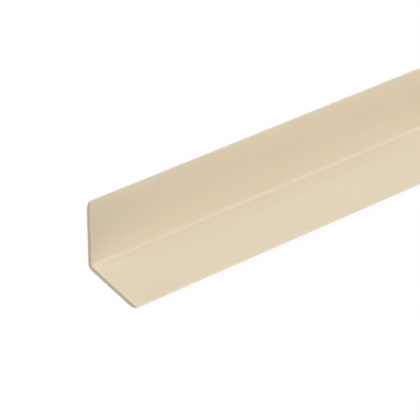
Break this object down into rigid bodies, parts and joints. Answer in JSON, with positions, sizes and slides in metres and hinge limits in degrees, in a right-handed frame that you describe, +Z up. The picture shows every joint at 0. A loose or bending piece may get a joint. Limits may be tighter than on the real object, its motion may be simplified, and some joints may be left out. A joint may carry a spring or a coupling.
{
  "type": "corner angle",
  "caption": "Length of extruded hard plastic angle with equal legs, a rounded heel, a small root fillet and eased free edges, cut square at both ends.",
  "frame": {"origin": "middle of the flat leg's underside, which rests on the floor, at half the stock's length", "axes": "+X along the stock, +Y from the flat leg's free edge to the upright leg, +Z up"},
  "size_m": [1, 0.02, 0.02],
  "materials": {
    "pvc": "satin"
  },
  "bodies": {
    "root": {"corner_angle": "pvc"}
  },
  "joints": []
}
